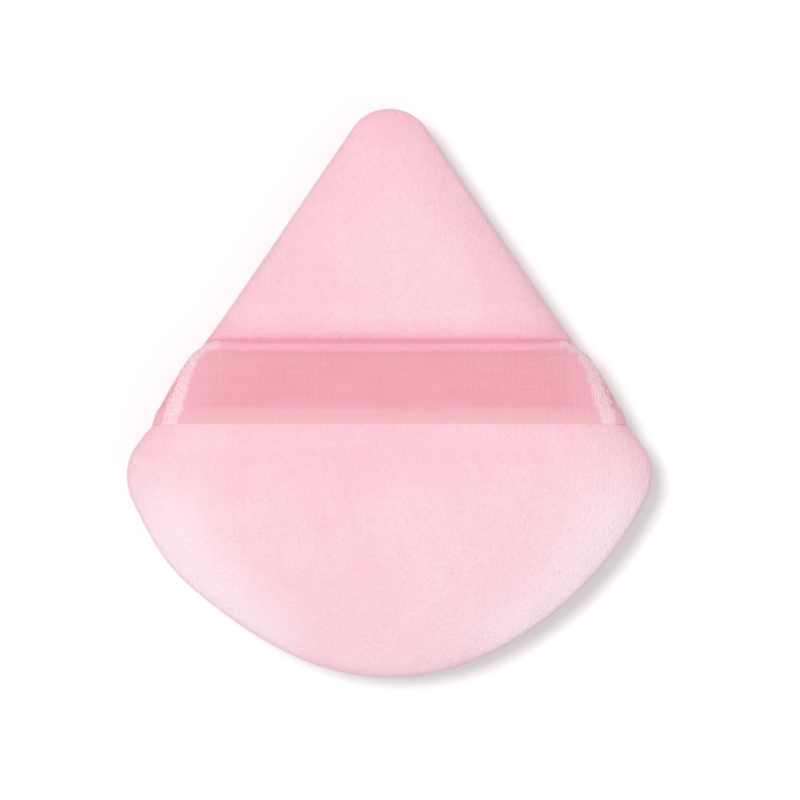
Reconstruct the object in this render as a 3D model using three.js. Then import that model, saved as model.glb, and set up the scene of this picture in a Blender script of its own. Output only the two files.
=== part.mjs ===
// Powder puff: a velour pad sewn from a front and a back panel over a foam core, with a woven
// finger strap across the front whose ends are caught in the two side seams.
// Millimetres, +Z up out of the strap face, tip towards +Y, back panel flat on the table at Z = 0.
import * as THREE from "three";

// Outline seen from above: a tip, straight flanks, two side corners, bowed sides and a round end.
const PAD_LENGTH = 80;
const PAD_WIDTH = 73.8; // over the two side corners
const TIP_RADIUS = 6.2;
const CORNER_RADIUS = 7.5;
const CORNER_DROP = 11.6; // centre of a side corner, below the middle of the length
const SIDE_RADIUS = 48; // bow of the side between a corner and the round end
const ROUND_END_RADIUS = 31.6;

// Pad seen from the side.
const PAD_THICKNESS = 14; // at the crown, before the strap draws it in
const SEAM_HEIGHT = 6.2;
const ROLL_HEIGHT = 1.9; // from the seam to the widest part of the edge, up and down
const CROWN_RISE = 3; // how much the middle of the front swells above its edge
const CROWN_REACH = 45; // from the middle of the crown to where the swelling ends
const CROWN_DROP = 6; // middle of the crown, below the middle of the length
const FRONT_EDGE = 9; // width of the rounded edge of the front
const BACK_EDGE = 8; // width of the rounded edge of the back
const EDGE_POWER = 2.2; // fullness of the rounded edge, 2 for an ellipse
const FLAT_CUT = 0.5; // how far the table flattens the back

// Sewing.
const FABRIC = 1; // velour with its pile
const SEAM_TUCK = 0.9; // how far the seam lies inside the outline
const SEAM_GAP = 0.3; // between the two panels at the seam
const ALLOWANCE = 3.5; // turned-in edge inside the seam
const STITCH_INSET = 1.6; // stitch line, in from the seam
const THREAD = 0.5; // thread diameter
const SEAT = 0.3; // clearance between pieces that lie on each other

// Finger strap.
const STRAP_WIDTH = 11.4;
const STRAP_RISE = 1.4; // middle of the strap, above the middle of the length
const RIBBON = 0.5; // ribbon thickness
const STRAP_TUCK = 3; // ribbon held inside the seam
const STRAP_ANCHOR = 4; // from the outline to where the strap leaves its sewn end
const STRAP_SLIT = 0.3; // between the loose span and a sewn end
const CHANNEL_DEPTH = 0.6; // how far the strap draws the front in
const CHANNEL_MARGIN = 2; // level floor of that channel on each side of the strap
const CHANNEL_EASE = 7; // width of the slope beside the floor
const MOUTH_EASE = 2; // length along the seam over which it opens for the strap

// Closing stitch of the turning gap, on the lower edge to the right of the middle.
const CLOSING_START = 7; // along the edge from the middle of the round end
const CLOSING_LENGTH = 21;
const CLOSING_STITCHES = 14;
const CLOSING_REACH = 1; // above and below the seam

const CROWN_RINGS = 6;
const TIP_STEPS = 3;
const CORNER_STEPS = 5;
const SIDE_STEPS = 5;
const END_STEPS = 3;
const STRAP_STEPS = 14;
const STRAP_LANES = 3;
const THREAD_SIDES = 6;

// Outline

const tip = { x: 0, y: PAD_LENGTH / 2 - TIP_RADIUS, r: TIP_RADIUS };
const corner = { x: PAD_WIDTH / 2 - CORNER_RADIUS, y: -CORNER_DROP, r: CORNER_RADIUS };
const end = { x: 0, y: ROUND_END_RADIUS - PAD_LENGTH / 2, r: ROUND_END_RADIUS };
const strapTop = STRAP_RISE + STRAP_WIDTH / 2;
const strapBottom = STRAP_RISE - STRAP_WIDTH / 2;

// Direction of the outward normal on the line that touches two arcs, going clockwise from a to b.
function tangentAngle(a, b) {
  const apart = Math.hypot(b.x - a.x, b.y - a.y);
  const angle = Math.atan2(b.y - a.y, b.x - a.x) + Math.acos((a.r - b.r) / apart);
  return Math.atan2(Math.sin(angle), Math.cos(angle));
}

// The arc of radius r that holds two smaller arcs and touches both, going clockwise from a to b.
function holdingArc(a, b, r) {
  const apart = Math.hypot(b.x - a.x, b.y - a.y);
  const ux = (b.x - a.x) / apart;
  const uy = (b.y - a.y) / apart;
  const along = (apart ** 2 + (r - a.r) ** 2 - (r - b.r) ** 2) / (2 * apart);
  const off = Math.sqrt((r - a.r) ** 2 - along ** 2);
  return { x: a.x + ux * along + uy * off, y: a.y + uy * along - ux * off, r };
}

// Direction of the outward normal where an arc inside a larger one touches it.
function touchAngle(outer, inner) {
  return Math.atan2(inner.y - outer.y, inner.x - outer.x);
}

// A point of an arc with its outward normal.
function onArc(arc, angle) {
  const nx = Math.cos(angle);
  const ny = Math.sin(angle);
  return { x: arc.x + arc.r * nx, y: arc.y + arc.r * ny, nx, ny };
}

function arcPoints(arc, from, to, steps) {
  const points = [];
  for (let i = 0; i <= steps; i++) {
    points.push(onArc(arc, from + ((to - from) * i) / steps));
  }
  return points;
}

const flankAngle = tangentAngle(tip, corner);
const bow = holdingArc(corner, end, SIDE_RADIUS);
const bowTop = touchAngle(bow, corner);
const bowFoot = touchAngle(bow, end);
const flankStart = onArc(tip, flankAngle);
const flankEnd = onArc(corner, flankAngle);

// Half the pad's width on the straight flank, at a height y.
function flankX(y) {
  const share = (flankStart.y - y) / (flankStart.y - flankEnd.y);
  return flankStart.x + (flankEnd.x - flankStart.x) * share;
}

// The mouth that the strap enters: its ends on the outline, past the strap and its slanted tuck.
const mouthTop = strapTop + SEAT + (SEAM_TUCK + STRAP_TUCK) * flankStart.ny;
const mouthBottom = strapBottom - SEAT;

// Points along the straight flank: two plain ones above the mouth, then those of the mouth.
function flankPoints() {
  const above = mouthTop + MOUTH_EASE;
  const heights = [
    flankStart.y + (above - flankStart.y) / 3,
    flankStart.y + ((above - flankStart.y) * 2) / 3,
    above,
    mouthTop,
    STRAP_RISE,
    mouthBottom,
  ];
  const kept = heights.filter((y) => y < flankStart.y && y > flankEnd.y + SEAT);
  return kept.map((y) => ({ x: flankX(y), y, nx: flankStart.nx, ny: flankStart.ny, flank: true }));
}

// The whole outline, anticlockwise from the middle of the round end.
function outlinePoints() {
  const half = [
    ...arcPoints(tip, Math.PI / 2, flankAngle, TIP_STEPS),
    ...flankPoints(),
    ...arcPoints(corner, flankAngle, bowTop, CORNER_STEPS),
    ...arcPoints(bow, bowTop, bowFoot, SIDE_STEPS).slice(1, -1),
    ...arcPoints(end, bowFoot, -Math.PI / 2, END_STEPS),
  ];
  const left = half.slice(1, -1).map((p) => ({ ...p, x: -p.x, nx: -p.nx }));
  return [...half.reverse(), ...left];
}

const outline = outlinePoints();

// A point of the lower edge at a run along it to the right from the middle of the round end.
function lowerEdge(run) {
  const endRun = end.r * (bowFoot + Math.PI / 2);
  return run < endRun
    ? onArc(end, run / end.r - Math.PI / 2)
    : onArc(bow, (run - endRun) / bow.r + bowFoot);
}

// Distance from a point of the pad to its outline.
function insetAt(x, y) {
  return Math.min(...outline.map((p) => (p.x - x) * p.nx + (p.y - y) * p.ny));
}

// Heights of the pad

const frontRoll = SEAM_HEIGHT + ROLL_HEIGHT;
const backRoll = SEAM_HEIGHT - ROLL_HEIGHT;
const frontRise = PAD_THICKNESS - CROWN_RISE - frontRoll;

function smooth(t) {
  const s = Math.min(Math.max(t, 0), 1);
  return s * s * (3 - 2 * s);
}

// Share of its full height that a rounded edge has at a share t of its width.
function edgeShare(t) {
  const left = 1 - Math.min(Math.max(t, 0), 1);
  return (1 - left ** EDGE_POWER) ** (1 / EDGE_POWER);
}

// The swelling of the front less the channel that the strap draws in it.
function swellAt(x, y) {
  const away = Math.hypot(x, y + CROWN_DROP) / CROWN_REACH;
  const beside = Math.abs(y - STRAP_RISE) - STRAP_WIDTH / 2 - CHANNEL_MARGIN;
  const channel = CHANNEL_DEPTH * (1 - smooth(beside / CHANNEL_EASE));
  return CROWN_RISE * Math.max(0, 1 - away * away) - channel;
}

// Height of the front surface, or of the layer that lies a depth below it.
function frontAt(x, y, depth = 0) {
  const share = edgeShare((insetAt(x, y) - depth) / (FRONT_EDGE - depth));
  return frontRoll + (frontRise - depth + swellAt(x, y)) * share;
}

// Height of the back surface, or of the layer that lies a depth above it.
function backAt(x, y, depth = 0) {
  const share = edgeShare((insetAt(x, y) - depth) / (BACK_EDGE - depth));
  return Math.max(depth, backRoll - (backRoll + FLAT_CUT - depth) * share);
}

// Half the opening between the panels at the seam: wider where the strap comes out.
const mouthGap = RIBBON / 2 + SEAT;

function halfGap(point) {
  const beside = Math.max(point.y - mouthTop, mouthBottom - point.y);
  const open = point.flank ? 1 - smooth(beside / MOUTH_EASE) : 0;
  return SEAM_GAP / 2 + (mouthGap - SEAM_GAP / 2) * open;
}

// Solids

// Triangles of the strip between two rings of equal length, cut across each quad's shorter diagonal.
function strip(from, to, first, second) {
  const span = (p, q) => Math.hypot(p[0] - q[0], p[1] - q[1], p[2] - q[2]);
  return from.flatMap((_, j) => {
    const i = (j + 1) % from.length;
    const [a, b, c, d] = [first + j, second + j, second + i, first + i];
    const forward = span(from[j], to[i]) <= span(from[i], to[j]);
    return forward ? [a, b, c, a, c, d] : [a, b, d, b, c, d];
  });
}

// Triangles between a pole and the ring next to it.
function fan(ring, first, pole, poleLeads) {
  return ring.flatMap((_, j) => {
    const i = (j + 1) % ring.length;
    return poleLeads ? [pole, first + j, first + i] : [first + j, pole, first + i];
  });
}

// A closed surface through rings of points. A ring of one point is a pole.
function skin(rings, closed = false) {
  const positions = [];
  const index = [];
  const starts = [];
  for (const ring of rings) {
    starts.push(positions.length / 3);
    positions.push(...ring.flat());
  }
  const bands = closed ? rings.length : rings.length - 1;
  for (let k = 0; k < bands; k++) {
    const n = (k + 1) % rings.length;
    if (rings[k].length === 1) {
      index.push(...fan(rings[n], starts[n], starts[k], true));
    } else if (rings[n].length === 1) {
      index.push(...fan(rings[k], starts[k], starts[n], false));
    } else {
      index.push(...strip(rings[k], rings[n], starts[k], starts[n]));
    }
  }
  const geometry = new THREE.BufferGeometry();
  geometry.setAttribute("position", new THREE.Float32BufferAttribute(positions, 3));
  geometry.setIndex(index);
  geometry.computeVertexNormals();
  return geometry;
}

// A ring at an inset from the outline, with its height from a rule.
function insetRing(inset, height) {
  return outline.map((p) => {
    const x = p.x - p.nx * inset;
    const y = p.y - p.ny * inset;
    return [x, y, height(x, y, p)];
  });
}

// Rings that shrink from the deepest inset towards the middle of the crown, largest first.
const deepInset = 0.7 * Math.min(TIP_RADIUS, CORNER_RADIUS);

function crownRings(height, count) {
  const rings = [];
  for (let k = 0; k < count; k++) {
    const share = 1 - k / count;
    rings.push(
      outline.map((p) => {
        const x = (p.x - p.nx * deepInset) * share;
        const y = (p.y - p.ny * deepInset + CROWN_DROP) * share - CROWN_DROP;
        return [x, y, height(x, y)];
      }),
    );
  }
  return rings;
}

function crownPole(height) {
  return [[0, -CROWN_DROP, height(0, -CROWN_DROP)]];
}

// Insets of the rings on the rounded edge, close together where it bends most.
const edgeInsets = [0.05, 0.18, 0.4, 0.68].map((share) => share * deepInset);
const rollAngles = [Math.PI / 6, Math.PI / 3];

// The edge's roll between the seam and its widest part: inset and height above the seam plane.
function rollPoint(angle, gap) {
  return {
    inset: SEAM_TUCK * (1 - Math.sin(angle)),
    rise: ROLL_HEIGHT - (ROLL_HEIGHT - gap) * Math.cos(angle),
  };
}

// Rings round the roll from the seam outwards, on the front (side 1) or the back (side -1).
function rollRings(side) {
  return [0, ...rollAngles, Math.PI / 2].map((angle) =>
    outline.map((p) => {
      const { inset, rise } = rollPoint(angle, halfGap(p));
      return [p.x - p.nx * inset, p.y - p.ny * inset, SEAM_HEIGHT + side * rise];
    }),
  );
}

// The turned-in edge and the inside of the roll, from the seam inwards and back out.
function allowanceRings(side) {
  const face = (rise) => (x, y, p) => SEAM_HEIGHT + side * (halfGap(p) + rise);
  return [
    insetRing(SEAM_TUCK + ALLOWANCE, face(0)),
    insetRing(SEAM_TUCK + ALLOWANCE, face(FABRIC)),
    insetRing(FABRIC + SEAT, face(FABRIC)),
    insetRing(FABRIC, () => SEAM_HEIGHT + side * ROLL_HEIGHT),
  ];
}

// One panel from the middle of its outer face, round its edge and back along its inner face.
function panelRings(side, heightAt, outerCount, innerCount) {
  const outer = (x, y) => heightAt(x, y);
  const inner = (x, y) => heightAt(x, y, FABRIC);
  const innerInsets = [0.1, 0.5].map((share) => FABRIC + share * (deepInset - FABRIC));
  return [
    crownPole(outer),
    ...crownRings(outer, outerCount).reverse(),
    ...edgeInsets.toReversed().map((inset) => insetRing(inset, outer)),
    ...rollRings(side).reverse(),
    ...allowanceRings(side),
    ...innerInsets.map((inset) => insetRing(inset, inner)),
    ...crownRings(inner, innerCount),
    crownPole(inner),
  ];
}

function frontPanel() {
  return skin(panelRings(1, frontAt, CROWN_RINGS, CROWN_RINGS));
}

function backPanel() {
  return skin(panelRings(-1, backAt, 1, 1).reverse());
}

// The foam fills the cover and is notched all round for the turned-in edges and their threads.
function foamCore() {
  const depth = FABRIC + SEAT;
  const top = (x, y) => frontAt(x, y, depth);
  const bottom = (x, y) => backAt(x, y, depth);
  const notch = mouthGap + FABRIC + THREAD + 2 * SEAT;
  const lip = SEAM_TUCK + STITCH_INSET;
  const root = SEAM_TUCK + ALLOWANCE + SEAT;
  return skin([
    crownPole(top),
    ...crownRings(top, CROWN_RINGS).reverse(),
    insetRing(lip, top),
    insetRing(lip, () => SEAM_HEIGHT + notch),
    insetRing(root, () => SEAM_HEIGHT + notch),
    insetRing(root, () => SEAM_HEIGHT - notch),
    insetRing(lip, () => SEAM_HEIGHT - notch),
    insetRing(lip, bottom),
    ...crownRings(bottom, 1),
    crownPole(bottom),
  ]);
}

// A round thread along a path that never runs upright, closed on itself or with flat ends.
function thread(path, closed) {
  const count = path.length;
  const up = new THREE.Vector3(0, 0, 1);
  const rings = path.map((point, i) => {
    const before = path[closed ? (i + count - 1) % count : Math.max(i - 1, 0)];
    const after = path[closed ? (i + 1) % count : Math.min(i + 1, count - 1)];
    const along = after.clone().sub(before).normalize();
    const across = along.clone().cross(up).normalize();
    const over = across.clone().cross(along);
    const ring = [];
    for (let k = 0; k < THREAD_SIDES; k++) {
      const angle = (2 * Math.PI * k) / THREAD_SIDES;
      const spoke = across.clone().multiplyScalar(Math.cos(angle));
      spoke.addScaledVector(over, Math.sin(angle)).multiplyScalar(THREAD / 2);
      ring.push(point.clone().add(spoke).toArray());
    }
    return ring;
  });
  if (closed) {
    return skin(rings, true);
  }
  return skin([[path[0].toArray()], ...rings, [path[count - 1].toArray()]]);
}

// The seam's needle thread (side 1) or bobbin thread (side -1), on its turned-in edge.
function seamThread(side) {
  const rise = FABRIC + SEAT + THREAD / 2;
  const height = (x, y, p) => SEAM_HEIGHT + side * (halfGap(p) + rise);
  const ring = insetRing(SEAM_TUCK + STITCH_INSET, height);
  return thread(ring.map((point) => new THREE.Vector3(...point)), true);
}

// The closing stitch steps from the front's roll to the back's and on, over the shut seam.
function closingThread() {
  const angle = Math.acos((ROLL_HEIGHT - CLOSING_REACH) / (ROLL_HEIGHT - SEAM_GAP / 2));
  const out = SEAT + THREAD / 2 - rollPoint(angle, SEAM_GAP / 2).inset;
  const path = [];
  for (let k = 0; k <= CLOSING_STITCHES; k++) {
    const point = lowerEdge(CLOSING_START + (CLOSING_LENGTH * k) / CLOSING_STITCHES);
    const rise = k % 2 ? CLOSING_REACH : -CLOSING_REACH;
    path.push(new THREE.Vector3(point.x + point.nx * out, point.y + point.ny * out, SEAM_HEIGHT + rise));
  }
  return thread(path, false);
}

// A ribbon from cross-sections in lanes over its width: outer face one way, inner face back.
function ribbon(sections) {
  const rings = sections.map(({ outer, inner }) => [...outer, ...inner.toReversed()]);
  const middle = (ring) => [0, 1, 2].map((k) => ring.reduce((sum, p) => sum + p[k], 0) / ring.length);
  return skin([[middle(rings[0])], ...rings, [middle(rings[rings.length - 1])]]);
}

const lanes = Array.from({ length: STRAP_LANES + 1 }, (_, i) => {
  return strapBottom + (STRAP_WIDTH * i) / STRAP_LANES;
});

// The loose span lies on the front from one sewn end to the other.
function strapSpan() {
  const anchor = STRAP_ANCHOR + STRAP_SLIT;
  const sections = [];
  for (let k = 0; k <= STRAP_STEPS; k++) {
    const share = (2 * k) / STRAP_STEPS - 1;
    const face = (lift) =>
      lanes.map((y) => {
        const x = (flankX(y) - anchor / flankStart.nx) * share;
        return [x, y, frontAt(x, y) + lift];
      });
    sections.push({ outer: face(SEAT + RIBBON), inner: face(SEAT) });
  }
  return ribbon(sections);
}

// One lane of the sewn end: points of the pad's edge from the span down into the seam.
function anchorLane(y) {
  const onFront = [STRAP_ANCHOR, ...edgeInsets.toReversed().filter((d) => d < STRAP_ANCHOR - SEAT)];
  const over = onFront.map((inset) => {
    const x = flankX(y) - inset / flankStart.nx;
    return { inset, z: frontAt(x, y) };
  });
  const down = [Math.PI / 2, ...rollAngles.toReversed(), 0].map((angle) => {
    const { inset, rise } = rollPoint(angle, mouthGap);
    return { inset, z: SEAM_HEIGHT + rise };
  });
  return [...over, ...down, { inset: SEAM_TUCK + STRAP_TUCK, z: SEAM_HEIGHT + mouthGap }];
}

// The points of a lane moved off the pad by a clearance, square to its edge.
function laneFace(y, clearance) {
  const lane = anchorLane(y);
  return lane.map((point, i) => {
    const before = lane[Math.max(i - 1, 0)];
    const after = lane[Math.min(i + 1, lane.length - 1)];
    const run = after.inset - before.inset;
    const fall = after.z - before.z;
    const length = Math.hypot(run, fall);
    const inset = point.inset + (clearance * fall) / length;
    const z = point.z - (clearance * run) / length;
    return [flankX(y) - inset / flankStart.nx, y, z];
  });
}

// A sewn end on the right (side 1) or the left (side -1).
function strapEnd(side) {
  const outer = lanes.map((y) => laneFace(y, SEAT + RIBBON));
  const inner = lanes.map((y) => laneFace(y, SEAT));
  const place = ([x, y, z]) => [side * x, y, z];
  const sections = outer[0].map((_, i) => ({
    outer: outer.map((lane) => place(lane[i])),
    inner: inner.map((lane) => place(lane[i])),
  }));
  return ribbon(side > 0 ? sections : sections.reverse());
}

// Assembly

function cloth(color, roughness) {
  return new THREE.MeshStandardMaterial({ color, roughness, metalness: 0 });
}

const puff = new THREE.Group();
puff.name = "powder_puff";

function place(name, geometry, material) {
  const mesh = new THREE.Mesh(geometry, material);
  mesh.name = name;
  puff.add(mesh);
}

place("front_panel", frontPanel(), cloth(0xf9d1dc, 0.95));
place("back_panel", backPanel(), cloth(0xf9d1dc, 0.95));
place("foam_core", foamCore(), cloth(0xfaf3ea, 1));
place("seam_needle_thread", seamThread(1), cloth(0xf3bccb, 0.7));
place("seam_bobbin_thread", seamThread(-1), cloth(0xf3bccb, 0.7));
place("closing_thread", closingThread(), cloth(0xf3bccb, 0.7));
place("strap_span", strapSpan(), cloth(0xf0a7b4, 0.6));
place("strap_end_left", strapEnd(-1), cloth(0xf0a7b4, 0.6));
place("strap_end_right", strapEnd(1), cloth(0xf0a7b4, 0.6));

export default puff;
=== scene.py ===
import math

import bpy
import numpy as np
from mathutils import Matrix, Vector


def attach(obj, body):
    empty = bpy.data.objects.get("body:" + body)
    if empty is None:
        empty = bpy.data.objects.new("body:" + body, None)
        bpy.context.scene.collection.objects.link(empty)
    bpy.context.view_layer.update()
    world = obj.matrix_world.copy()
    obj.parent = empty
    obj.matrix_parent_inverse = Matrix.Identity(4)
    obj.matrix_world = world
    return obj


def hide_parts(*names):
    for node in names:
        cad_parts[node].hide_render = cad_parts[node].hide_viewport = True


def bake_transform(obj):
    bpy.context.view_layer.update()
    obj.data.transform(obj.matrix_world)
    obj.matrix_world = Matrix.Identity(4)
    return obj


# Powder puff: two velour covers over a foam pad, sewn at the edge, with a woven finger strap.
# Shapes are worked out in millimetres, as in the part's source, and become metres in add_mesh.

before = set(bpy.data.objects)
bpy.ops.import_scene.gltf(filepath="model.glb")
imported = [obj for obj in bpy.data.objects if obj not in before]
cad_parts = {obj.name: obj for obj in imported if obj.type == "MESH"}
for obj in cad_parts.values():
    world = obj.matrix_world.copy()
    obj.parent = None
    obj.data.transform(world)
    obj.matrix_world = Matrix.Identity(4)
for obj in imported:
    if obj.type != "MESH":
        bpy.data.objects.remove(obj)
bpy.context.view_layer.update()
scene = bpy.context.scene

MM = 0.001
TURN = 2 * math.pi

# Outline of the pad.
PAD_LENGTH = 80
PAD_WIDTH = 73.8  # over the two side corners
TIP_RADIUS = 6.2
CORNER_RADIUS = 7.5
CORNER_DROP = 11.6  # centre of a side corner, below the middle of the length
SIDE_RADIUS = 48  # bow of the side between a corner and the round end
ROUND_END_RADIUS = 31.6

# Heights of the pad.
PAD_THICKNESS = 14  # at the crown, before the strap draws it in
SEAM_HEIGHT = 6.2
ROLL_HEIGHT = 1.9  # from the seam to the widest part of the edge, up and down
CROWN_RISE = 3  # how much the middle of the front swells above its edge
CROWN_REACH = 45  # from the middle of the crown to where the swelling ends
CROWN_DROP = 6  # middle of the crown, below the middle of the length
FRONT_EDGE = 9  # width of the rounded edge of the front
BACK_EDGE = 8  # and of the back
EDGE_POWER = 2.2  # fullness of the rounded edge, 2 for an ellipse
FLAT_CUT = 0.5  # how far the table flattens the back

# Sewing.
FABRIC = 1  # velour with its pile
SEAM_TUCK = 0.9  # how far the seam lies inside the outline
SEAM_SHUT = 0.03  # half the gap of the shut seam
ALLOWANCE = 3.5  # turned-in edge inside the seam
STITCH_INSET = 1.6  # stitch line, in from the seam
STITCH_PITCH = 2.6
THREAD = 0.5  # thread diameter
SEAT = 0.3  # clearance between pieces that lie on each other
LIP_POWER = 2.8  # fullness of the rolled edges where they meet at the seam

# Finger strap.
STRAP_WIDTH = 11.4
STRAP_RISE = 1.4  # middle of the strap, above the middle of the length
STRAP_TUCK = 3  # ribbon held inside the seam
STRAP_CLEAR = 0.12  # between the pad and the ribbon
RIBBON = 0.5  # ribbon thickness
RIBBON_LOOK = 0.6  # and with the ribs of the weave
CHANNEL_DEPTH = 0.6  # how far the strap draws the front in
CHANNEL_MARGIN = 0.4  # level floor of that channel on each side of the strap
CHANNEL_EASE = 5.5  # width of the slope beside the floor
LANE_MARGIN = 2  # the same for the ribbon, which bridges the slope's foot
LANE_EASE = 7
END_DROP = 1.1  # how far the sewn end's upper corner is drawn down

# Mouth of the seam, where the ribbon goes in.
FRONT_MOUTH = 0.4  # from the seam up to the front cover
BACK_MOUTH = 0.26  # and down to the back cover
MOUTH_MARGIN = 0.35  # below the ribbon's lower edge
MOUTH_LOW_EASE = 2  # over which the seam opens from below
MOUTH_HIGH_EASE = 0.7  # and from above

# Closing stitches.
CLOSING_START = 7  # along the edge from the middle of the round end
CLOSING_LENGTH = 21
CLOSING_STITCHES = 14
CLOSING_REACH = 1  # above and below the seam
CLOSING_THREAD = 0.4

STRAP_TOP = STRAP_RISE + STRAP_WIDTH / 2
STRAP_BOTTOM = STRAP_RISE - STRAP_WIDTH / 2
MOUTH_TOP = STRAP_TOP - END_DROP
MOUTH_BOTTOM = STRAP_BOTTOM - MOUTH_MARGIN
DEEP_INSET = 0.7 * min(TIP_RADIUS, CORNER_RADIUS)  # edge rings stop short of the arcs' centres
CROWN_CENTRE = np.array([0.0, -CROWN_DROP])


def smooth(t):
    """A soft step from 0 to 1."""
    s = np.clip(t, 0, 1)
    return s * s * (3 - 2 * s)


def bell(distance, spread):
    """A soft hump, 1 in its middle."""
    return np.exp(-((distance / spread) ** 2))


def run_along(path):
    """Distance of each point of a path from its first point."""
    step = np.linalg.norm(np.diff(path, axis=0), axis=1)
    return np.concatenate([[0], np.cumsum(step)])


# Outline. An arc is the x and y of its centre and its radius.

ARC_STEPS = 400  # points on each arc of the dense outline
RIM_STEPS = 720  # lines that distances are measured to
BATCH = 8192  # points measured at a time

TIP = (0, PAD_LENGTH / 2 - TIP_RADIUS, TIP_RADIUS)
CORNER = (PAD_WIDTH / 2 - CORNER_RADIUS, -CORNER_DROP, CORNER_RADIUS)
END = (0, ROUND_END_RADIUS - PAD_LENGTH / 2, ROUND_END_RADIUS)


def tangent_angle(a, b):
    """Angle at which a straight line touches two arcs, going clockwise from a to b."""
    apart = math.hypot(b[0] - a[0], b[1] - a[1])
    angle = math.atan2(b[1] - a[1], b[0] - a[0]) + math.acos((a[2] - b[2]) / apart)
    return math.atan2(math.sin(angle), math.cos(angle))


def holding_arc(a, b, radius):
    """The arc that holds two smaller arcs and touches both, going clockwise from a to b."""
    apart = math.hypot(b[0] - a[0], b[1] - a[1])
    ux = (b[0] - a[0]) / apart
    uy = (b[1] - a[1]) / apart
    along = (apart**2 + (radius - a[2]) ** 2 - (radius - b[2]) ** 2) / (2 * apart)
    off = math.sqrt((radius - a[2]) ** 2 - along**2)
    return a[0] + ux * along + uy * off, a[1] + uy * along - ux * off, radius


def touch_angle(outer, inner):
    return math.atan2(inner[1] - outer[1], inner[0] - outer[0])


def on_arc(arc, angle):
    return arc[0] + arc[2] * math.cos(angle), arc[1] + arc[2] * math.sin(angle)


FLANK_ANGLE = tangent_angle(TIP, CORNER)
FLANK_NX = math.cos(FLANK_ANGLE)
FLANK_NY = math.sin(FLANK_ANGLE)
FLANK_LOW = on_arc(CORNER, FLANK_ANGLE)
FLANK_HIGH = on_arc(TIP, FLANK_ANGLE)
BOW = holding_arc(CORNER, END, SIDE_RADIUS)
BOW_TOP = touch_angle(BOW, CORNER)
BOW_FOOT = touch_angle(BOW, END)


def half_outline():
    """Dense points and normals of the right half, from the round end up to the tip."""
    rows = []
    for arc, first, last in (
        (END, -math.pi / 2, BOW_FOOT),
        (BOW, BOW_FOOT, BOW_TOP),
        (CORNER, BOW_TOP, FLANK_ANGLE),
        (TIP, FLANK_ANGLE, math.pi / 2),
    ):
        for angle in np.linspace(first, last, ARC_STEPS):
            rows.append((*on_arc(arc, angle), math.cos(angle), math.sin(angle)))
    return np.array(rows)


HALF = half_outline()
HALF_RUN = run_along(HALF[:, :2])
HALF_LENGTH = HALF_RUN[-1]


def edge_at(t):
    """Points and outward normals of the outline at shares t of the way round, anticlockwise."""
    left = t > 0.5
    run = np.where(left, 1 - t, t) * 2 * HALF_LENGTH
    found = np.stack([np.interp(run, HALF_RUN, column) for column in HALF.T], -1)
    found[:, ::2] *= np.where(left, -1, 1)[:, None]
    point, normal = found[:, :2], found[:, 2:]
    return point, normal / np.linalg.norm(normal, axis=1, keepdims=True)


def inset_edge(inset, t):
    """The outline drawn in by an inset, at shares t of the way round."""
    point, normal = edge_at(t)
    return point - normal * np.broadcast_to(inset, t.shape)[:, None]


RIM_POINTS, RIM_NORMALS = edge_at(np.arange(RIM_STEPS) / RIM_STEPS)
RIM_REACH = (RIM_POINTS * RIM_NORMALS).sum(1)


def inset_at(x, y):
    """Distance of points inside the pad from its outline."""
    flat = np.stack([np.ravel(x), np.ravel(y)], 1)
    found = np.empty(len(flat))
    for first in range(0, len(flat), BATCH):
        part = flat[first : first + BATCH]
        found[first : first + BATCH] = (RIM_REACH - part @ RIM_NORMALS.T).min(1)
    return found.reshape(np.shape(x))


def flank_x(y):
    """Where the straight flank is, at a place y along the pad's length."""
    share = (FLANK_HIGH[1] - y) / (FLANK_HIGH[1] - FLANK_LOW[1])
    return FLANK_HIGH[0] + (FLANK_LOW[0] - FLANK_HIGH[0]) * share


# Heights

FRONT_ROLL = SEAM_HEIGHT + ROLL_HEIGHT
BACK_ROLL = SEAM_HEIGHT - ROLL_HEIGHT
FRONT_RISE = PAD_THICKNESS - CROWN_RISE - FRONT_ROLL

# The strap's upper edge presses the pile down, and the pile stands up along its lower edge.
PRESS_DEPTH = 0.4
PRESS_AT = 0.35  # above the strap
PRESS_SPREAD = 0.45
CREST_HEIGHT = 0.12
CREST_AT = 0.15  # below the strap
CREST_SPREAD = 0.5


def edge_share(t):
    """Height of the rounded edge, from 0 at the outline to 1 where the crown begins."""
    left = 1 - np.clip(t, 0, 1)
    return (1 - left**EDGE_POWER) ** (1 / EDGE_POWER)


def beside_strap(y):
    return np.abs(y - STRAP_RISE) - STRAP_WIDTH / 2


def front_at(x, y, depth=0.0, margin=CHANNEL_MARGIN, ease=CHANNEL_EASE):
    """Height of the front, or of a surface at a depth under it."""
    away = np.hypot(x, y + CROWN_DROP) / CROWN_REACH
    channel = CHANNEL_DEPTH * (1 - smooth((beside_strap(y) - margin) / ease))
    swell = CROWN_RISE * np.maximum(0, 1 - away * away) - channel
    share = edge_share((inset_at(x, y) - depth) / (FRONT_EDGE - depth))
    return FRONT_ROLL + (FRONT_RISE - depth + swell) * share


def back_at(x, y, depth=0.0):
    """Height of the back, or of a surface at a depth inside it."""
    share = edge_share((inset_at(x, y) - depth) / (BACK_EDGE - depth))
    return np.maximum(depth, BACK_ROLL - (BACK_ROLL + FLAT_CUT - depth) * share)


def pressed_at(y):
    above = bell(y - STRAP_TOP - PRESS_AT, PRESS_SPREAD)
    below = bell(STRAP_BOTTOM - CREST_AT - y, CREST_SPREAD)
    return PRESS_DEPTH * above - CREST_HEIGHT * below


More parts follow.
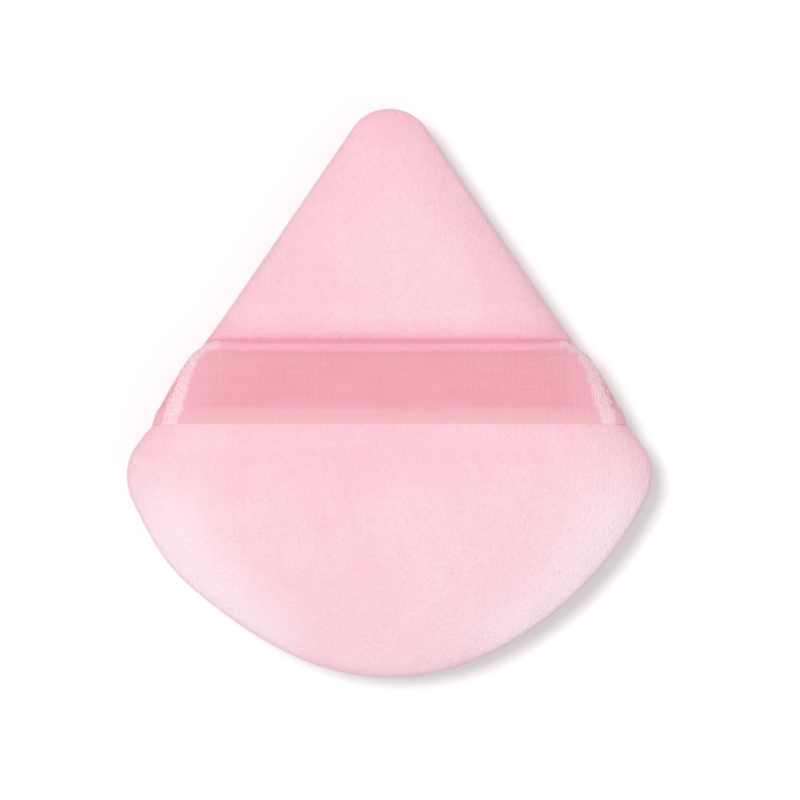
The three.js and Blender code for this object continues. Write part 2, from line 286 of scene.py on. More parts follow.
def half_gap(y, side):
    """From the seam to the front (1) or back (-1) cover, wider where the ribbon goes in."""
    opened = smooth((y - MOUTH_BOTTOM) / MOUTH_LOW_EASE)
    opened = opened * (1 - smooth((y - MOUTH_TOP) / MOUTH_HIGH_EASE))
    mouth = FRONT_MOUTH if side > 0 else BACK_MOUTH
    return SEAM_SHUT + (mouth - SEAM_SHUT) * opened


# Unevenness of the sewing

SEED = 20
WAVE_COUNT = 14
WAVE_RATE = 0.16  # of the fastest wave, in radians for each millimetre
WAVE_SCALE = 5  # brings the sum of the waves to about 1
DRIFT_COUNT = 6
DRIFT_FIRST = 3  # waves round the pad of the slowest drift of the stitches
DRIFT = 0.5  # how far they drift, in radians of a stitch
PUCKER_SWING = 0.3  # share of the puckers' strength that comes and goes
PUCKER_SWINGS = 5  # times round the pad

RANDOM = np.random.default_rng(SEED)
WAVES = RANDOM.uniform(-1, 1, (WAVE_COUNT, 2)) * WAVE_RATE
WAVE_PHASES = RANDOM.uniform(0, TURN, WAVE_COUNT)
PUCKER_WAVES = RANDOM.uniform(0, TURN, DRIFT_COUNT)
PUCKERS = round(2 * HALF_LENGTH / STITCH_PITCH)


def unevenness(x, y):
    """A slow seeded wave over the pad, about -1 to 1."""
    total = sum(np.sin(a * x + b * y + p) for (a, b), p in zip(WAVES, WAVE_PHASES))
    return total / WAVE_SCALE


def pucker_at(t):
    """How far the fabric stands out between stitches, from -1 at a stitch to 1."""
    drift = sum(np.sin(TURN * (k + DRIFT_FIRST) * t + p) for k, p in enumerate(PUCKER_WAVES))
    strength = 1 - PUCKER_SWING + PUCKER_SWING * np.sin(TURN * PUCKER_SWINGS * t + PUCKER_WAVES[0])
    return strength * np.cos(TURN * PUCKERS * t + DRIFT * drift)


# How the strap draws its flank in or lets it out, at places along the pad's length.
FLANK_PLACES = [-13, -9, -6, -4.3, -2, 0.5, 3.5, 6.7, 10, 14, 20]
FLANK_SHIFTS = [0, 0.05, -0.1, -0.3, -0.3, 0, 0.2, 0.2, 0.05, 0, 0]
FLANK_MIDDLE = 6  # half width of the middle, where both shifts die out
# How far the filling bows the left lower side out, and where round the round end, in degrees.
LEFT_BOW = 0.7
BOW_ANGLE = -27
BOW_SPREAD = 13
BOW_MIDDLE = 12  # from the middle to where the bow is whole
WARP_FADE = 7  # in from the edge, over which shift and bow die out
UNEVEN_RISE = 0.16  # of the front, none at the table
UNEVEN_FROM = 2
UNEVEN_EASE = 8


def warp(points):
    """Moves points of any piece as the tight strap, the filling and uneven sewing move the pad."""
    x, y, z = points.T
    near = np.exp(-np.maximum(inset_at(x, y), 0) / WARP_FADE)
    shift = np.interp(y, FLANK_PLACES, FLANK_SHIFTS) * near * smooth(np.abs(x) / FLANK_MIDDLE)
    turn = np.arctan2(y - END[1], np.abs(x))
    bow = bell(np.degrees(turn) - BOW_ANGLE, BOW_SPREAD) * near
    bow *= LEFT_BOW * smooth(-x / BOW_MIDDLE)
    moved = points.copy()
    moved[:, 0] += np.sign(x) * (FLANK_NX * shift + np.cos(turn) * bow)
    moved[:, 1] += FLANK_NY * shift + np.sin(turn) * bow
    moved[:, 2] += UNEVEN_RISE * unevenness(x, y) * smooth((z - UNEVEN_FROM) / UNEVEN_EASE)
    return moved


# Meshes


def add_object(name, data):
    thing = bpy.data.objects.new(name, data)
    scene.collection.objects.link(thing)
    return thing


def add_mesh(name, points, faces, maps=None):
    """An object of points in millimetres, with maps of two values for each point."""
    mesh = bpy.data.meshes.new(name)
    mesh.from_pydata((np.asarray(points) * MM).tolist(), [], faces, shade_flat=False)
    corners = np.zeros(len(mesh.loops), np.int32)
    mesh.loops.foreach_get("vertex_index", corners)
    for key, values in (maps or {}).items():
        layer = mesh.uv_layers.new(name=key)
        layer.uv.foreach_set("vector", values[corners].astype(np.float32).ravel())
    mesh.validate()
    mesh.update()
    return add_object(name, mesh)


def ring_index(a, b, k):
    """Place of grid point (a, b) round the square ring k, from the middle of its lower side."""
    if k == 0:
        return 0
    if b == -k and a >= 0:
        return a
    if a == k:
        return k + (b + k)
    if b == k:
        return 3 * k + (k - a)
    if a == -k:
        return 5 * k + (k - b)
    return 7 * k + (a + k)


class Shell:
    """Collects rings of points and the faces between them."""

    def __init__(self):
        self.points = []
        self.faces = []
        self.count = 0

    def add(self, points):
        """Adds points and returns their places."""
        first = self.count
        self.points.append(np.asarray(points, float))
        self.count += len(points)
        return range(first, self.count)

    def face(self, corners, flip):
        self.faces.append(corners[::-1] if flip else corners)

    def strip(self, one, two, flip=False):
        """Faces between two rings."""
        count = len(one)
        for j in range(count):
            i = (j + 1) % count
            self.face([one[j], one[i], two[i], two[j]], flip)

    def fan(self, ring, pole, flip=False):
        """Faces from a ring to a point that closes it."""
        count = len(ring)
        middle = self.add([pole])[0]
        for j in range(count):
            self.face([ring[j], ring[(j + 1) % count], middle], flip)

    def disc(self, grid, at, flip=False, cut=True):
        """A square grid bent onto the pad. Returns the places of its outer ring, in order.

        A cut at the corners of its rings keeps a quad on a straight flank from going flat.
        """
        ticks = range(-grid, grid + 1)
        cells = [(a, b, max(abs(a), abs(b))) for a in ticks for b in ticks]
        share = np.array([k / grid for _, _, k in cells])
        t = np.array([ring_index(a, b, k) / max(8 * k, 1) for a, b, k in cells])
        places = self.add(at(share, t))
        place = {(a, b): found for (a, b, _), found in zip(cells, places)}
        for a in ticks[:-1]:
            for b in ticks[:-1]:
                quad = [place[a, b], place[a + 1, b], place[a + 1, b + 1], place[a, b + 1]]
                pieces = [(0, 1, 2, 3)]
                if cut and a == b:
                    pieces = [(0, 1, 2), (0, 2, 3)]
                if cut and a + b == -1:
                    pieces = [(0, 1, 3), (1, 2, 3)]
                for corners in pieces:
                    self.face([quad[c] for c in corners], flip)
        rim = {ring_index(a, b, k): place[a, b] for a, b, k in cells if k == grid}
        return [rim[i] for i in range(8 * grid)]

    def piece(self, name):
        """The shell as an object, moved as the pad is."""
        return add_mesh(name, warp(np.concatenate(self.points)), self.faces)


EDGE_FROM = 0.74  # share of a disc's rings that covers the crown, the rest is its edge
EDGE_CROWDING = 1.5  # how much closer the rings lie towards the outline


def disc_place(share, t):
    """Place in the plan of a disc's point: its share of the way out and its share round."""
    edge = np.clip((1 - share) / (1 - EDGE_FROM), 0, 1)
    ring = inset_edge(DEEP_INSET * edge**EDGE_CROWDING, t)
    shrink = np.minimum(share / EDGE_FROM, 1)
    return CROWN_CENTRE + (ring - CROWN_CENTRE) * shrink[:, None]


def ring_at(inset, height, t):
    """A ring round the pad at an inset, its height a number or a surface."""
    place = inset_edge(inset, t)
    z = height(*place.T) if callable(height) else height
    return np.column_stack([place, np.broadcast_to(z, t.shape)])


def crown_rings(height, t, count):
    """Rings on a surface over the crown, from its edge inwards."""
    deep = inset_edge(DEEP_INSET, t) - CROWN_CENTRE
    places = [CROWN_CENTRE + deep * (1 - k / count) for k in range(count)]
    return [np.column_stack([place, height(*place.T)]) for place in places]


def crown_pole(height):
    """The middle of a surface over the crown."""
    return [*CROWN_CENTRE, height(*CROWN_CENTRE[:, None])[0]]


# How far the fabric stands out between two stitches.
SEAM_PUCKER = 0.25  # at the seam
EDGE_RIPPLE = 0.02  # at the widest part of the edge
FACE_RIPPLE = 0.08  # on the face beside it
RIPPLE_EASE = 0.6  # in from the edge, over which the face's ripples rise
RIPPLE_FADE = 1.4  # and die out
RIPPLE_FROM = 0.5  # share of a disc's rings without them
RIPPLE_SHARE = 1 / 3  # and with a part of them
PRESS_EASE = 1.5  # in from the edge, over which the strap's press on the pile begins


def seam_inset(t):
    return SEAM_TUCK - SEAM_PUCKER * pucker_at(t)


def roll_ring(side, angle, t):
    """A ring of the rolled edge, from its widest part at a quarter turn to the seam at 0."""
    bulge = math.sin(angle) ** (2 / LIP_POWER)
    place = inset_edge(seam_inset(t) * (1 - bulge) - EDGE_RIPPLE * pucker_at(t) * bulge, t)
    gap = half_gap(place[:, 1], side)
    rise = ROLL_HEIGHT - (ROLL_HEIGHT - gap) * math.cos(angle) ** (2 / LIP_POWER)
    return np.column_stack([place, SEAM_HEIGHT + side * rise])


# Swelling of the front cover, simulated as cloth under pressure, from a slightly flatter start.
SWELL_GRID = 54
SWELL_UNITS = 0.01  # metres for a millimetre, which makes the pad a seat cushion
SWELL_FRAMES = 20
SWELL_SLACK = 0.1  # share of the height that the start lacks
SWELL_CAP = 0.6
SWELL_BLURS = 6
HELD_MARGIN = 0.8  # beside the strap, and in from the edge
HELD_EASE = 3  # over which the strap's hold ends


def held_at(x, y):
    """How firmly the seam and the strap hold the front cover, from 0 to 1."""
    strap_hold = 1 - smooth((beside_strap(y) - HELD_MARGIN) / HELD_EASE)
    seam_hold = 1 - smooth(inset_at(x, y) / HELD_MARGIN)
    return np.maximum(strap_hold, seam_hold)


def swelling():
    """How far the points of a disc's grid move from the drawn shape, in millimetres."""
    side = 2 * SWELL_GRID + 1

    def drawn_at(share, t):
        place = disc_place(share, t)
        return np.column_stack([place, front_at(*place.T)])

    shell = Shell()
    shell.disc(SWELL_GRID, drawn_at, cut=False)
    drawn = np.concatenate(shell.points)
    held = held_at(drawn[:, 0], drawn[:, 1])
    start = drawn.copy()
    start[:, 2] -= SWELL_SLACK * (drawn[:, 2] - FRONT_ROLL) * (1 - held)
    piece = add_mesh("swelling", start * SWELL_UNITS / MM, shell.faces)
    group = piece.vertex_groups.new(name="held")
    for i, weight in enumerate(held):
        group.add([i], float(weight), "REPLACE")
    cloth = piece.modifiers.new("swelling", "CLOTH")
    cloth.settings.bending_stiffness = 20
    cloth.settings.compression_stiffness = 3
    cloth.settings.use_pressure = True
    cloth.settings.uniform_pressure_force = 4
    cloth.settings.vertex_group_mass = group.name
    cloth.settings.effector_weights.gravity = 0
    cloth.point_cache.frame_end = SWELL_FRAMES
    for step in range(1, SWELL_FRAMES + 1):
        scene.frame_set(step)
    swollen = piece.evaluated_get(bpy.context.evaluated_depsgraph_get()).data
    found = np.zeros(len(start) * 3, np.float32)
    swollen.vertices.foreach_get("co", found)
    moved = found.reshape(-1, 3) / SWELL_UNITS - drawn
    bpy.data.meshes.remove(piece.data)
    scene.frame_set(1)
    length = np.linalg.norm(moved, axis=1, keepdims=True)
    moved *= np.minimum(1, SWELL_CAP / np.maximum(length, 1e-6)) * (1 - held[:, None])
    field = moved.reshape(side, side, 3)
    for _ in range(SWELL_BLURS):
        for axis in (0, 1):
            field = (np.roll(field, 1, axis) + 2 * field + np.roll(field, -1, axis)) / 4
    return field


def refined(grid, field):
    """A field on the swelling's grid, read off at the points of a finer disc."""
    ticks = np.linspace(0, len(field) - 1, 2 * grid + 1)
    low = np.minimum(ticks.astype(int), len(field) - 2)
    part = (ticks - low)[:, None, None]
    rows = field[low] * (1 - part) + field[low + 1] * part
    part = part.reshape(1, -1, 1)
    return (rows[:, low] * (1 - part) + rows[:, low + 1] * part).reshape(-1, 3)


# Covers

ROLL_STEPS = 12
LINING_SHARES = (0.12, 0.35, 0.65)  # rings of the inner face between its edge and the crown
LINING_EDGE = 0.05  # beyond the fabric, where the inner face meets the rolled edge


def cover(name, side, grid, lining):
    """One cover: outer face, rolled edge, turned-in allowance and inner face, closed.

    Its outer face is a disc of a grid, and its lining has that many rings over the crown.
    """
    flip = side < 0
    height = front_at if side > 0 else back_at
    t = np.arange(8 * grid) / (8 * grid)

    def outer(share, t):
        place = disc_place(share, t)
        _, normal = edge_at(t)
        inset = np.maximum(inset_at(*place.T), 0)
        begun = smooth((share - RIPPLE_FROM) / RIPPLE_SHARE)
        ripple = pucker_at(t) * np.exp(-inset / RIPPLE_FADE) * begun
        z = height(*place.T) + side * FACE_RIPPLE * ripple * smooth(inset / RIPPLE_EASE)
        points = np.column_stack([place + normal * (EDGE_RIPPLE * ripple)[:, None], z])
        if side > 0:
            points[:, 2] -= pressed_at(place[:, 1]) * smooth(inset / PRESS_EASE)
            points += refined(grid, swelling())
        return points

    def turned_in(x, y):
        return SEAM_HEIGHT + side * half_gap(y, side)

    def turned_back(x, y):
        return turned_in(x, y) + side * FABRIC

    def inside(x, y):
        return height(x, y, FABRIC)

    angles = [math.pi / 2 * (1 - step / ROLL_STEPS) for step in range(1, ROLL_STEPS + 1)]
    rings = [roll_ring(side, angle, t) for angle in angles]
    for inset, surface in (
        (seam_inset(t) + ALLOWANCE / 2, turned_in),
        (SEAM_TUCK + ALLOWANCE, turned_in),
        (SEAM_TUCK + ALLOWANCE, turned_back),
        (FABRIC + SEAT + THREAD, turned_back),
        (FABRIC + LINING_EDGE, SEAM_HEIGHT + side * ROLL_HEIGHT),
    ):
        rings.append(ring_at(inset, surface, t))
    for share in LINING_SHARES:
        rings.append(ring_at(FABRIC + share * (DEEP_INSET - FABRIC), inside, t))
    rings += crown_rings(inside, t, lining)
    shell = Shell()
    last = shell.disc(grid, outer, flip)
    for ring in rings:
        places = shell.add(ring)
        shell.strip(places, last, flip)
        last = places
    shell.fan(last, crown_pole(inside), flip)
    return shell.piece(name)


front_cover = cover("front_cover", 1, grid=108, lining=8)
back_cover = cover("back_cover", -1, grid=90, lining=4)


# Foam pad

FOAM_STEPS = 240
FOAM_LIP = 1.2  # width of the foam's edge beyond the notch


def foam():
    """The foam slab, notched all round for the turned-in edges and their threads."""
    t = np.arange(FOAM_STEPS) / FOAM_STEPS
    depth = FABRIC + SEAT
    notch = RIBBON / 2 + FABRIC + THREAD + 3 * SEAT
    lip = SEAM_TUCK + STITCH_INSET
    root = SEAM_TUCK + ALLOWANCE + SEAT

    def top(x, y):
        return front_at(x, y, depth)

    def bottom(x, y):
        return back_at(x, y, depth)

    rings = crown_rings(top, t, count=16)[::-1]
    for inset, height in (
        (lip + FOAM_LIP, top),
        (lip, top),
        (lip, SEAM_HEIGHT + notch),
        (root, SEAM_HEIGHT + notch),
        (root, SEAM_HEIGHT - notch),
        (lip, SEAM_HEIGHT - notch),
        (lip, bottom),
        (lip + FOAM_LIP, bottom),
    ):
        rings.append(ring_at(inset, height, t))
    rings += crown_rings(bottom, t, count=4)
    shell = Shell()
    places = [shell.add(ring) for ring in rings]
    for one, two in zip(places, places[1:]):
        shell.strip(two, one)
    shell.fan(places[0], crown_pole(top))
    shell.fan(places[-1], crown_pole(bottom), flip=True)
    return shell.piece("foam_pad")


foam_pad = foam()


# Threads

TWIST = 2.4  # of the plies, in radians for each millimetre
PLY = 0.16  # how far the two plies make the thread out of round
STITCH_STEPS = 10  # points of a seam stitch
STITCH_LIFT = 0.1  # of the seam's thread off the turned-in edge
STITCH_DIP = 0.45  # of its ends into the edge
STITCH_POWER = 6  # how short that dip is
CLOSING_STEPS = 24  # points from one crossing of the seam to the next
CLOSING_OVER = 0.12  # how deep the thread lies in the pile outside
CLOSING_ENTRY = 0.48  # where it goes into the fabric
CLOSING_UNDER = 0.9  # how much deeper it runs inside
CLOSING_POWER = 4  # how suddenly it goes in


def tube(shell, path, closed, radius, sides, twist=TWIST):
    """A two-ply thread along a path, its plies twisted round each other."""
    if closed:
        along = np.roll(path, -1, 0) - np.roll(path, 1, 0)
    else:
        along = np.gradient(path, axis=0)
    along /= np.linalg.norm(along, axis=1, keepdims=True)
    upright = np.abs(along[:, 2:]) > 0.95
    guide = np.where(upright, [[1.0, 0, 0]], [[0, 0, 1.0]])
    across = np.cross(along, guide)
    across /= np.linalg.norm(across, axis=1, keepdims=True)
    over = np.cross(across, along)
    run = run_along(path)
    if closed:
        length = run[-1] + np.linalg.norm(path[0] - path[-1])
        twist = TURN * round(length * twist / TURN / 2) * 2 / length
    angle = TURN * np.arange(sides) / sides
    rings = []
    for k in range(len(path)):
        size = radius * (1 + PLY * np.cos(2 * (angle - run[k] * twist)))
        spoke = np.cos(angle)[:, None] * across[k] + np.sin(angle)[:, None] * over[k]
        rings.append(shell.add(path[k] + spoke * size[:, None]))
    for one, two in zip(rings, rings[1:]):
        shell.strip(one, two)
    if closed:
        shell.strip(rings[-1], rings[0])
    else:
        cap = radius * 0.7
        shell.fan(rings[0], path[0] - along[0] * cap, flip=True)
        shell.fan(rings[-1], path[-1] + along[-1] * cap)
    return shell


def seam_stitches(name, side):
    """The seam's stitches along the turned-in edge: each lies on it and dips at its ends."""
    count = PUCKERS * STITCH_STEPS
    t = np.arange(count) / count
    ring = ring_at(SEAM_TUCK + STITCH_INSET, 0.0, t)
    dip = np.maximum(0, np.cos(TURN * PUCKERS * t)) ** STITCH_POWER
    rise = half_gap(ring[:, 1], side) + FABRIC + THREAD / 2 + STITCH_LIFT - STITCH_DIP * dip
    ring[:, 2] = SEAM_HEIGHT + side * rise
    return tube(Shell(), ring, True, THREAD / 2, sides=8).piece(name)


def closing_path():
    """Whip stitches over the shut seam: each slants across it outside and goes back inside."""
    k = np.arange(CLOSING_STITCHES * CLOSING_STEPS + 1) / CLOSING_STEPS
    t = (CLOSING_START + CLOSING_LENGTH * k / CLOSING_STITCHES) / (2 * HALF_LENGTH)
    swing = -np.cos(math.pi * k)
    over = CLOSING_OVER + (CLOSING_ENTRY - CLOSING_OVER) * np.abs(swing) ** CLOSING_POWER
    under = CLOSING_ENTRY + CLOSING_UNDER * (1 - swing**2)
    inset = np.where(np.sin(math.pi * k) > 0, over, under)
    return np.column_stack([inset_edge(inset, t), SEAM_HEIGHT + CLOSING_REACH * swing])


needle_stitches = seam_stitches("needle_stitches", 1)
bobbin_stitches = seam_stitches("bobbin_stitches", -1)
closing_tube = tube(Shell(), closing_path(), False, CLOSING_THREAD / 2, sides=10)
closing_stitches = closing_tube.piece("closing_stitches")


# Finger strap

# A lane runs along the ribbon: over the pad's middle, its edge and its rolled edge, into the seam.
LANE_EDGE = 6  # in from the flank, where a lane's points begin to crowd
LANE_CROWDING = 1.4
LANE_MIDDLE_STEPS = 56
LANE_EDGE_STEPS = 40
LANE_ROLL_STEPS = 14
LANE_TUCK_STEPS = 6
LANE_KNOTS = [0, 8, 41, 49]  # lanes between which they lie closer, along the ribbon's two edges
LANE_SHARES = [0, 0.14, 0.86, 1]  # and how far across it these are
LANES = np.interp(np.arange(LANE_KNOTS[-1] + 1), LANE_KNOTS, LANE_SHARES)

# Where the ribbon bends over the pad's edge, in from the flank along x.
CREASE_TOP = 0.9  # at the ribbon's upper edge
CREASE_BOTTOM = 3  # at its lower edge

# How the ribbon stands off the pad or sinks into the pile, beside the plain clearance.
EDGE_LIFT = 0.06  # of its upper edge
EDGE_SPREAD = 0.9
RIDGE_LIFT = 0.16  # of the crease
RIDGE_SPREAD = 1.1
RIDGE_EASE = 2  # from the lower edge to where the ridge is whole
LOW_SINK = 0.08  # of its lower edge
LOW_WIDTH = 1.4
CORNER_SINK = 0.75  # of its sewn end's upper corner
CORNER_FROM = 0.78  # share of the ribbon's width where that corner begins
CORNER_FOLD = 1.6  # and where it begins, before the crease
CORNER_EASE = 1.8
SEAM_CLEAR = 0.08  # in the seam
THIN_CLEAR = 0.26  # in the seam, added where the ribbon is thinned
DROP_FROM = 0.75  # share of the ribbon's width above which the sewn end is drawn down
DROP_FOLD = 0.9  # and where that begins, before the crease
DROP_EASE = 2

# Thickness of the ribbon, as shares of RIBBON_LOOK.
PLAIN_THICKNESS = 0.82
SELVEDGE_RISE = 0.14
SELVEDGE_WIDTH = 1.1
SELVEDGE_EASE = 0.4
GROOVE_DEPTH = 0.2
GROOVE_AT = 1.8  # down from the upper edge
GROOVE_SPREAD = 0.25
ROUND_OFF = 0.3  # of the upper edge, over the groove's spread
THINNING = 0.62  # of the lower edge
THIN_WIDTH = 1.6
LOOSE_FROM = -0.5  # past the crease, where selvedge and groove begin
LOOSE_EASE = 2


def lane_path(y):
    """Inset and height of the pad under the strap at a place y, from the middle to the seam."""
    half = flank_x(y)
    middle = np.linspace(0, half - LANE_EDGE / FLANK_NX, LANE_MIDDLE_STEPS, endpoint=False)
    insets = LANE_EDGE * np.linspace(1, 0, LANE_EDGE_STEPS, endpoint=False) ** LANE_CROWDING
    x = np.concatenate([middle, half - insets / FLANK_NX])
    over_z = front_at(x, np.full_like(x, y), margin=LANE_MARGIN, ease=LANE_EASE)
    over_inset = (half - x) * FLANK_NX
    angles = np.linspace(math.pi / 2, 0, LANE_ROLL_STEPS)
    roll_inset = SEAM_TUCK * (1 - np.sin(angles))
    roll_z = FRONT_ROLL - (ROLL_HEIGHT - FRONT_MOUTH) * np.cos(angles)
    tuck_inset = np.linspace(SEAM_TUCK, SEAM_TUCK + STRAP_TUCK, LANE_TUCK_STEPS + 1)[1:]
    tuck_z = np.full(LANE_TUCK_STEPS, SEAM_HEIGHT + FRONT_MOUTH)
    inset = np.concatenate([over_inset, roll_inset, tuck_inset])
    return inset, np.concatenate([over_z, roll_z, tuck_z])


def stand_off(inset, z, clear):
    """A lane moved off the pad, square to it."""
    run = np.gradient(inset)
    fall = np.gradient(z)
    length = np.hypot(run, fall)
    return inset + clear * fall / length, z - clear * run / length


def thinned_at(v):
    """1 at the ribbon's lower edge, 0 where it is whole."""
    return 1 - smooth(v * STRAP_WIDTH / THIN_WIDTH)


def half_lane(v, above=0.0):
    """The ribbon's right underside at a share v of its width, with distances before the crease."""
    up = v * STRAP_WIDTH
    y = STRAP_BOTTOM + up
    inset, z = lane_path(y)
    crease = CREASE_TOP + (CREASE_BOTTOM - CREASE_TOP) * (STRAP_TOP - y) / STRAP_WIDTH
    fold = inset / FLANK_NX - crease
    fold[inset.argmin() :] = fold.min()
    edge = bell(STRAP_WIDTH - up, EDGE_SPREAD)
    ridge = bell(fold, RIDGE_SPREAD) * smooth(up / RIDGE_EASE)
    low = 1 - smooth(up / LOW_WIDTH)
    corner = smooth((v - CORNER_FROM) / (1 - CORNER_FROM)) * smooth((CORNER_FOLD - fold) / CORNER_EASE)
    clear = STRAP_CLEAR + EDGE_LIFT * edge + RIDGE_LIFT * ridge - LOW_SINK * low - CORNER_SINK * corner
    end = LANE_ROLL_STEPS + LANE_TUCK_STEPS
    clear[-end:] = np.linspace(clear[-end], SEAM_CLEAR + THIN_CLEAR * thinned_at(v), end)
    drawn = max(0, (v - DROP_FROM) / (1 - DROP_FROM)) ** 2
    drop = END_DROP * drawn * smooth((DROP_FOLD - fold) / DROP_EASE)
    inset, z = stand_off(inset, z, clear + above)
    x = flank_x(y - drop) - inset / FLANK_NX
    return np.column_stack([x, y - drop, z]), fold


def thickness_at(v, loose):
    """Share of the ribbon's thickness, with selvedge and groove where it is loose."""
    down = (1 - v) * STRAP_WIDTH
    selvedge = SELVEDGE_RISE * (1 - smooth((down - SELVEDGE_WIDTH) / SELVEDGE_EASE))
    groove = GROOVE_DEPTH * bell(down - GROOVE_AT, GROOVE_SPREAD)
    round_off = ROUND_OFF * bell(down, GROOVE_SPREAD)
    return float(PLAIN_THICKNESS + (selvedge - groove) * loose - round_off - THINNING * thinned_at(v))


def thicken(piece, folds):
    """Gives the ribbon's sheet its thickness."""
    group = piece.vertex_groups.new(name="thickness")
    for i, v in enumerate(LANES):
        for j, fold in enumerate(folds[i]):
            share = thickness_at(v, smooth((fold - LOOSE_FROM) / LOOSE_EASE))
            group.add([i * len(folds[i]) + j], share, "REPLACE")
    solid = piece.modifiers.new("ribbon", "SOLIDIFY")
    solid.thickness = RIBBON_LOOK * MM
    solid.offset = 1
    solid.vertex_group = group.name
    bevel = piece.modifiers.new("edge", "BEVEL")
    bevel.width = 0.12 * MM
    bevel.segments = 2
    bevel.limit_method = "ANGLE"
    bevel.angle_limit = math.radians(50)


def strap():
    """The ribbon, from seam to seam, with maps of its own lengths and of its crease."""
    lanes, folds = [], []
    for v in LANES:
        right, fold = half_lane(v)
        left = right[:0:-1] * [-1, 1, 1]
        lanes.append(np.concatenate([left, right]))
        folds.append(np.concatenate([fold[:0:-1], fold]))
    run = np.array([run_along(lane) for lane in lanes])
    run -= run[:, -1:] / 2
    across = np.broadcast_to((LANES * STRAP_WIDTH)[:, None], run.shape)
    maps = {
        "weave": np.stack([run, across], -1).reshape(-1, 2),
        "fold": np.stack([folds, across], -1).reshape(-1, 2),
    }
    count = run.shape[1]
    faces = []
    for i in range(len(lanes) - 1):
        for j in range(count - 1):
            a = i * count + j
            faces.append([a, a + 1, a + count + 1, a + count])
    piece = add_mesh("finger_strap", warp(np.concatenate(lanes)), faces, maps)
    thicken(piece, folds)
    return piece


finger_strap = strap()


# Stitches of the ribbon's ends

END_ROW = np.arange(1.5, STRAP_WIDTH - 2.4, 1.25)  # lower ends, up from the ribbon's edge
END_HALF = 0.42  # half the length of a stitch
END_POINTS = 9
END_LIFT = 0.06  # of a stitch off the ribbon
END_DIP = 0.3  # of its ends into it
END_POWER = 4  # how short that dip is
END_FOLD = -1.75  # beyond the crease
END_SPARE = 0.3  # at least, before the ribbon turns into the seam
END_THREAD = 0.24


def end_stitches(name, side):
    """A row of short stitches that holds the ribbon's end to the pad, outside the crease."""
    shell = Shell()
    for low in END_ROW:
        path = []
        for share in np.linspace(-1, 1, END_POINTS):
            v = (low + END_HALF * (1 + share)) / STRAP_WIDTH
            lift = END_LIFT - END_DIP * share**END_POWER
            lane, fold = half_lane(v, RIBBON_LOOK * thickness_at(v, 0) + lift)
            past = max(END_FOLD, fold.min() + END_SPARE)
            end = fold.argmin()
            x, y, z = (np.interp(-past, -fold[:end], lane[:end, k]) for k in range(3))
            path.append([side * x, y, z])
        tube(shell, np.array(path), False, END_THREAD / 2, sides=8, twist=6)
    return shell.piece(name)


left_end_stitches = end_stitches("left_end_stitches", -1)
right_end_stitches = end_stitches("right_end_stitches", 1)


# Materials


def linear(*colour):
    """A colour from its 0 to 255 values, none of them near black."""
    return (*(((value / 255 + 0.055) / 1.055) ** 2.4 for value in colour), 1)


class Nodes:
    """Short calls for building the nodes of a material or of the world."""

    def __init__(self, owner):
        owner.use_nodes = True
        self.owner = owner
        self.tree = owner.node_tree
        self.tree.nodes.clear()

    def add(self, kind, **settings):
        node = self.tree.nodes.new(kind)
        for key, value in settings.items():
            setattr(node, key, value)
        return node

    def link(self, source, target):
        """Feeds a socket from another one, or gives it a number or a colour."""
        if isinstance(source, (int, float, tuple)):
            target.default_value = source
        else:
            self.tree.links.new(source, target)

    def feed(self, node, **sources):
        """Feeds a node's sockets by their names, with low lines for spaces."""
        for name, source in sources.items():
            self.link(source, node.inputs[name.replace("_", " ")])

    def fill(self, node, *sources):
        """Feeds a node's sockets in their order, and returns what the node gives."""
        for source, socket in zip(sources, node.inputs):
            self.link(source, socket)
        return node.outputs[0]

    def maths(self, operation, *values):
        return self.fill(self.add("ShaderNodeMath", operation=operation), *values)

    def times(self, first, *others):
        for other in others:
            first = self.maths("MULTIPLY", first, other)
        return first

    def plus(self, first, second):
        return self.maths("ADD", first, second)

    def minus(self, first, second):
        return self.maths("SUBTRACT", first, second)

    def own_place(self):
        return self.add("ShaderNodeTexCoord").outputs["Object"]

    def parts(self, vector):
        """The X, Y and Z of a vector."""
        node = self.add("ShaderNodeSeparateXYZ")
        self.fill(node, vector)
        return tuple(node.outputs)

    def stretch(self, vector, scale):
        return self.fill(self.add("ShaderNodeVectorMath", operation="MULTIPLY"), vector, scale)

    def mask(self, value, zero, one):
        """A soft step of a value, from 0 at zero to 1 at one."""
        node = self.add("ShaderNodeMapRange", interpolation_type="SMOOTHSTEP")
        self.feed(node, Value=value, From_Min=zero, From_Max=one)
        return node.outputs["Result"]

    def noise(self, vector, scale, detail, distortion=0.0):
        node = self.add("ShaderNodeTexNoise")
        self.feed(node, Vector=vector, Scale=scale, Detail=detail, Distortion=distortion)
        return node.outputs["Fac"]

    def mix(self, factor, first, second):
        node = self.add("ShaderNodeMix", data_type="RGBA")
        colours = [socket for socket in node.inputs if socket.type == "RGBA"]
        self.link(factor, node.inputs["Factor"])
        self.link(first, colours[0])
        self.link(second, colours[1])
        return next(socket for socket in node.outputs if socket.type == "RGBA")

    def lay(self, body, where, strength, colour):
        """Lays a colour over another where a mask says so."""
        return self.mix(self.times(where, strength), body, colour)

    def bump(self, height, depth, strength, **other):
        node = self.add("ShaderNodeBump")
        self.feed(node, Distance=depth, Strength=strength, Height=height, **other)
        return node.outputs["Normal"]

    def output(self, kind, shader):
        self.link(shader.outputs[0], self.add(kind).inputs["Surface"])

    def surface(self, **values):
        """Ends a material with a shader that has these values, and returns it."""
        shader = self.add("ShaderNodeBsdfPrincipled")
        self.feed(shader, **values)
        self.output("ShaderNodeOutputMaterial", shader)
        return self.owner


# Velour. Its masks and depths are in metres, as the object's own coordinates are.

